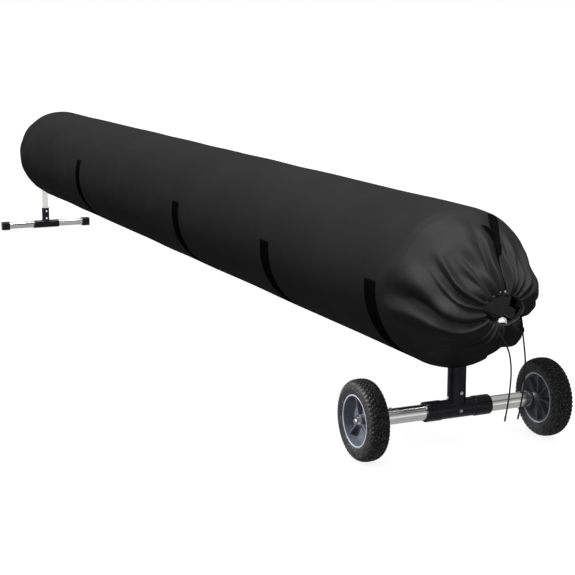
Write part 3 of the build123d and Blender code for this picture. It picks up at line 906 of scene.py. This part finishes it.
def hub(name, node, centre, side, body):
    """A dished plastic hub: a lip painted lighter as a highlight on the rim's edge, a deep wall, three ribs
    outside and eight ribs inside.
    """
    outline = [
        (9.2, 12.0), (15.2, 12.0), (16.0, 11.2), (16.2, 5.0), (17.5, 3.4), (36.0, 1.8), (52.0, 0.2),
        (56.5, 0.6), (58.6, 3.4), (60.2, 20.4), (60.8, 21.8), (61.6, 23.4), (62.6, 24.4), (64.2, 24.4),
        (65.4, 23.6), (65.8, 22.0), (64.4, 20.6), (62.3, 18.6), (62.3, -18.6), (64.4, -20.6),
        (65.8, -22.0), (65.4, -23.6), (64.2, -24.4), (62.6, -24.4), (61.2, -23.0), (59.8, -19.5),
        (57.5, -9.0), (55.0, -7.0), (18.5, -6.0), (16.4, -7.5), (16.0, -23.0), (15.0, -24.0), (9.2, -24.0),
    ]
    # the rows of the outline that are the lips, outside and inside, coloured lighter as a painted highlight
    # on the rim's edge
    lip_highlight_rows = {row: 1 for row in (11, 12, 13, 14, 20, 21, 22, 23)}
    body_piece = lathe(name, outline, centre, side, 128, [hub_grey, hub_lip_painted_highlight], body, lip_highlight_rows)
    body_piece.data.set_sharp_from_angle(angle=math.radians(40))
    verts, faces = [], []
    ribs = [(angle, 14.5, 59.2, -1.0, 13.0, 16.0, 4.6, side) for angle in (100, 225, 340)]
    ribs += [(angle, 14.5, 59.0, 4.5, 21.5, 19.0, 3.4, -side) for angle in range(0, 360, 45)]
    for angle, inner, outer, low, high_in, high_out, thick, way in ribs:
        start = len(verts)
        verts += fin(centre, way, angle, inner, outer, low, high_in, high_out, thick)
        faces += [tuple(start + k for k in f) for f in FIN_FACES]
    ribs_piece = new_piece(name + "_ribs", verts, faces, hub_grey, body, smooth=False)
    modifier(ribs_piece, "BEVEL", width=0.9 * MM, segments=3, limit_method="ANGLE")
    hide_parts(node)


for side, side_name in ((-1, "left"), (1, "right")):
    wheel_centre = Vector((near_x, side * wheel_y, wheel_z))
    tyre(f"tyre_{side_name}", f"wheel_{side_name}_tyre", wheel_centre, side, f"wheel_{side_name}")
    hub(f"hub_{side_name}", f"wheel_{side_name}_hub", wheel_centre, side, f"wheel_{side_name}")


# ---------------------------------------------------------------- studio
def studio_room():
    """A pale room: white at eye level, greyer overhead, with the dark edge of a table below."""
    world = bpy.data.worlds.new("studio")
    world.use_nodes = True
    tree = world.node_tree
    coords = tree.nodes.new("ShaderNodeTexCoord")
    parts = tree.nodes.new("ShaderNodeSeparateXYZ")
    height = tree.nodes.new("ShaderNodeMapRange")
    height.inputs["From Min"].default_value = -1.0
    ramp = tree.nodes.new("ShaderNodeValToRGB")
    # place from straight down (0) to straight up (1), and brightness
    shades = [(0.0, 0.50), (0.30, 0.50), (0.33, 0.05), (0.365, 0.05), (0.40, 1.0), (0.53, 1.0), (0.58, 0.48),
              (0.73, 0.48), (0.76, 0.06), (0.80, 0.06), (0.85, 0.55), (1.0, 0.55)]
    for index, (place, shade) in enumerate(shades):
        stop = ramp.color_ramp.elements[index] if index < 2 else ramp.color_ramp.elements.new(place)
        stop.position = place
        stop.color = (shade, shade, shade, 1)
    tree.links.new(coords.outputs["Generated"], parts.inputs["Vector"])
    tree.links.new(parts.outputs["Z"], height.inputs["Value"])
    tree.links.new(height.outputs["Result"], ramp.inputs["Fac"])
    tree.links.new(ramp.outputs["Color"], tree.nodes["Background"].inputs["Color"])
    bpy.context.scene.world = world


def group_of(name, wanted):
    """A collection of the objects that a lamp may light."""
    group = bpy.data.collections.new(name)
    for piece in bpy.context.scene.objects:
        if piece.type in {"MESH", "CURVE"} and wanted(piece):
            group.objects.link(piece)
    return group


def add_lamp(name, kind, place, target, energy, size, lights):
    """A lamp that lights one group; size is degrees for a sun and metres for an area lamp."""
    data = bpy.data.lights.new(name, kind)
    data.energy = energy
    if kind == "SUN":
        data.angle = math.radians(size)
    else:
        data.size = size
    lamp = bpy.data.objects.new(name, data)
    lamp.location = place
    lamp.rotation_mode = "QUATERNION"
    lamp.rotation_quaternion = (Vector(target) - Vector(place)).to_track_quat("-Z", "Y")
    bpy.context.scene.collection.objects.link(lamp)
    lamp.light_linking.receiver_collection = lights
    return data


def studio():
    """A pale floor that doesn't tint the black cloth, and soft light from above and the left."""
    floor_mesh = bpy.data.meshes.new("floor")
    size = 400.0
    corners = [(-size, -size, 0), (size, -size, 0), (size, size, 0), (-size, size, 0)]
    floor_mesh.from_pydata(corners, [], [(0, 1, 2, 3)])
    floor = bpy.data.objects.new("floor", floor_mesh)
    bpy.context.scene.collection.objects.link(floor)
    floor_look = Nodes("floor", (0.90, 0.90, 0.90), 0.7)
    floor_look.set("Specular IOR Level", 0.1)
    floor_mesh.materials.append(floor_look.material)
    floor.visible_diffuse = False
    floor.visible_glossy = False
    studio_room()
    bpy.context.scene.view_settings.view_transform = "Standard"

    wheel_parts = ("tyre", "hub", "wheel")
    floor_only = group_of("floor_only", lambda piece: piece.name == "floor")
    wheels = group_of("wheels", lambda piece: any(word in piece.name for word in wheel_parts))
    special = {"floor", *wheels.objects.keys()}
    others = group_of("others", lambda piece: piece.name not in special)
    add_lamp("sun", "SUN", (0, 0, 5), (-0.3, 0.6, 0), 12.0, 40, others)
    fill = add_lamp("floor_fill", "SUN", (0, 0, 5), (0, 0, 0), 2.9, 10, floor_only)
    fill.use_shadow = False
    add_lamp("key", "AREA", (near_x + 0.9, -1.5, 1.9), (near_x + 0.1, 0, 0.4), 42, 0.5, others)
    add_lamp("front", "AREA", (near_x + 2.8, -1.4, 0.55), (near_x, 0, 0.3), 26, 0.8, others)
    add_lamp("wheel_key", "AREA", (near_x - 0.9, -1.9, 1.3), (near_x, -0.2, 0.1), 88, 0.3, wheels)


studio()
